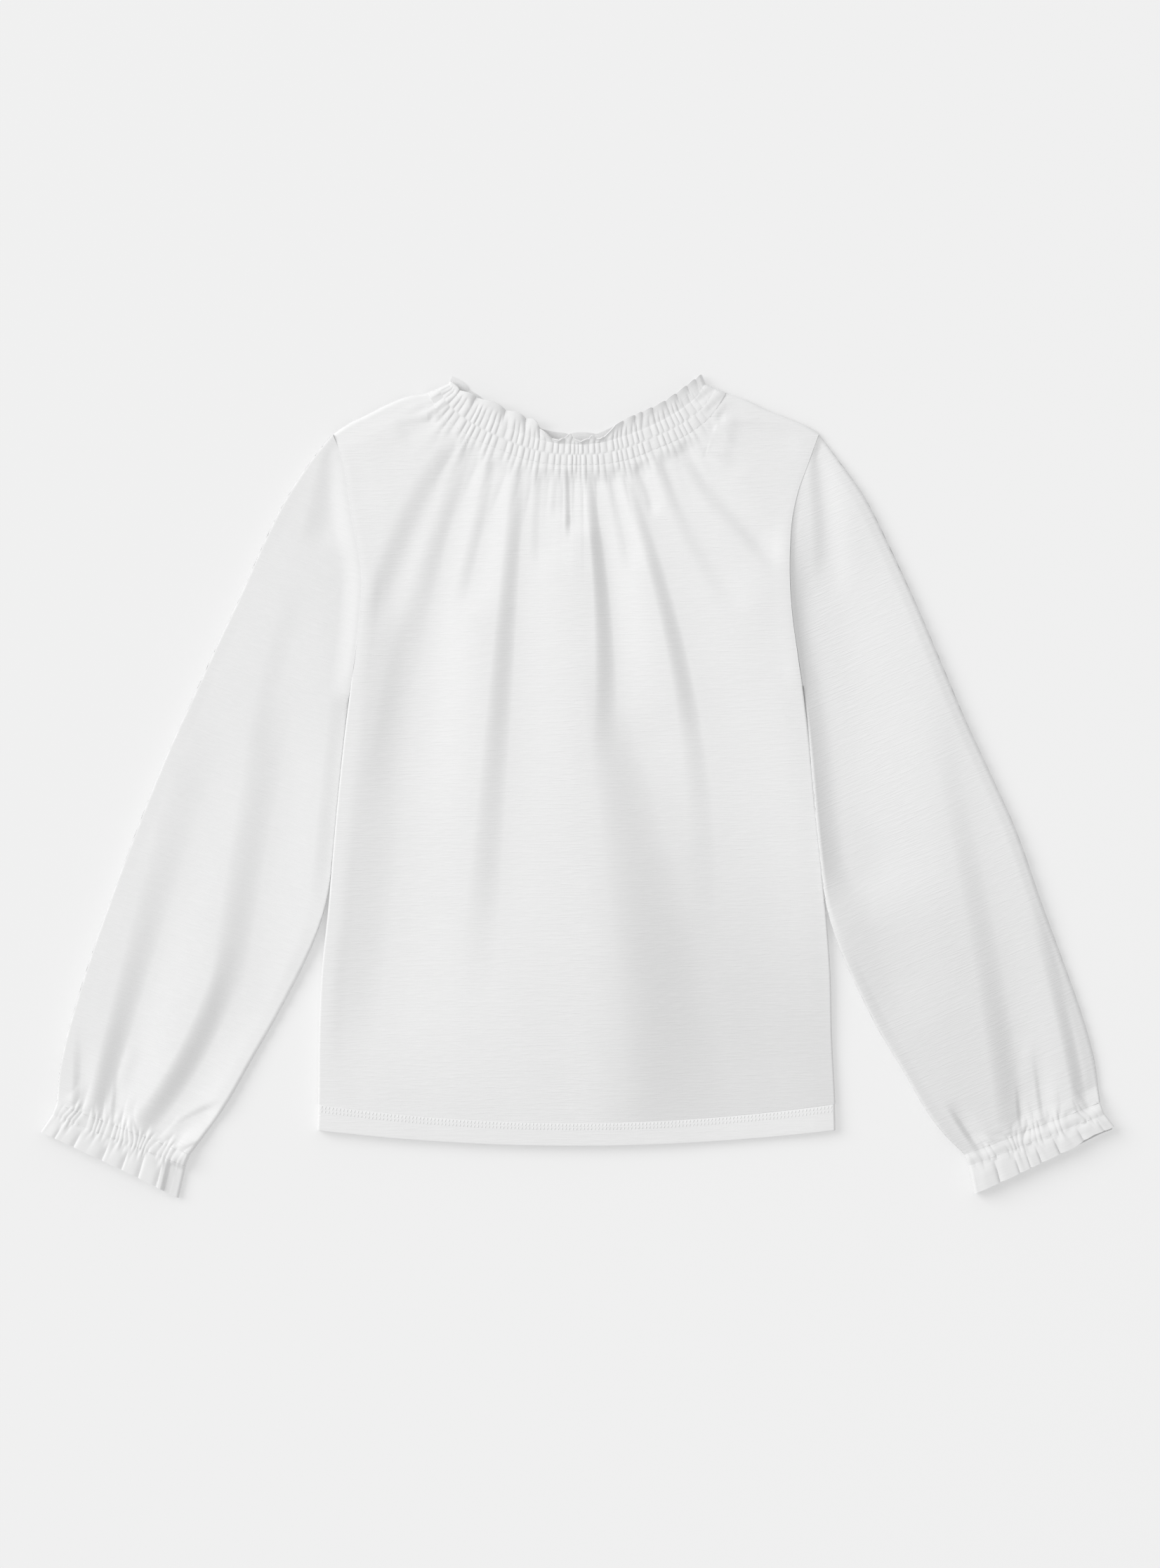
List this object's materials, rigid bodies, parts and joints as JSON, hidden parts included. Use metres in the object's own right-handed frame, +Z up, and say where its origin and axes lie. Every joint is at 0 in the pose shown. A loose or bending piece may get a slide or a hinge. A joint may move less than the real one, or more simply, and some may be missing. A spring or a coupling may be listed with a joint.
{
  "type": "girl's long-sleeve jersey top with a shirred neck, laid flat",
  "caption": "White long-sleeve jersey top laid flat, gathered at the neck and wrists by elastic shirring with small ruffles.",
  "frame": {"origin": "centre of the garment's bounding box in plan, on the surface it lies on", "axes": "+X to the right sleeve as seen from above, +Y to the neck, +Z up off the surface"},
  "size_m": [0.6874, 0.5276, 0.0109],
  "materials": {
    "back_cloth": "matt",
    "hem_back_cloth": "matt",
    "front_cloth": "matt",
    "hem_front_cloth": "matt",
    "sleeve_left_cloth": "matt",
    "sleeve_right_cloth": "matt",
    "neck_shirring_back_cloth": "matt",
    "neck_shirring_front_cloth": "matt",
    "neck_ruffle_back_cloth": "matt",
    "neck_ruffle_front_cloth": "matt",
    "cuff_elastic_left_cloth": "matt",
    "cuff_ruffle_left_cloth": "matt",
    "cuff_elastic_right_cloth": "matt",
    "cuff_ruffle_right_cloth": "matt"
  },
  "bodies": {
    "root": {"back": "back_cloth", "hem_back": "hem_back_cloth", "front": "front_cloth", "hem_front": "hem_front_cloth", "sleeve_left": "sleeve_left_cloth", "sleeve_right": "sleeve_right_cloth", "neck_shirring_back": "neck_shirring_back_cloth", "neck_shirring_front": "neck_shirring_front_cloth", "neck_ruffle_back": "neck_ruffle_back_cloth", "neck_ruffle_front": "neck_ruffle_front_cloth", "cuff_elastic_left": "cuff_elastic_left_cloth", "cuff_ruffle_left": "cuff_ruffle_left_cloth", "cuff_elastic_right": "cuff_elastic_right_cloth", "cuff_ruffle_right": "cuff_ruffle_right_cloth"}
  },
  "joints": []
}
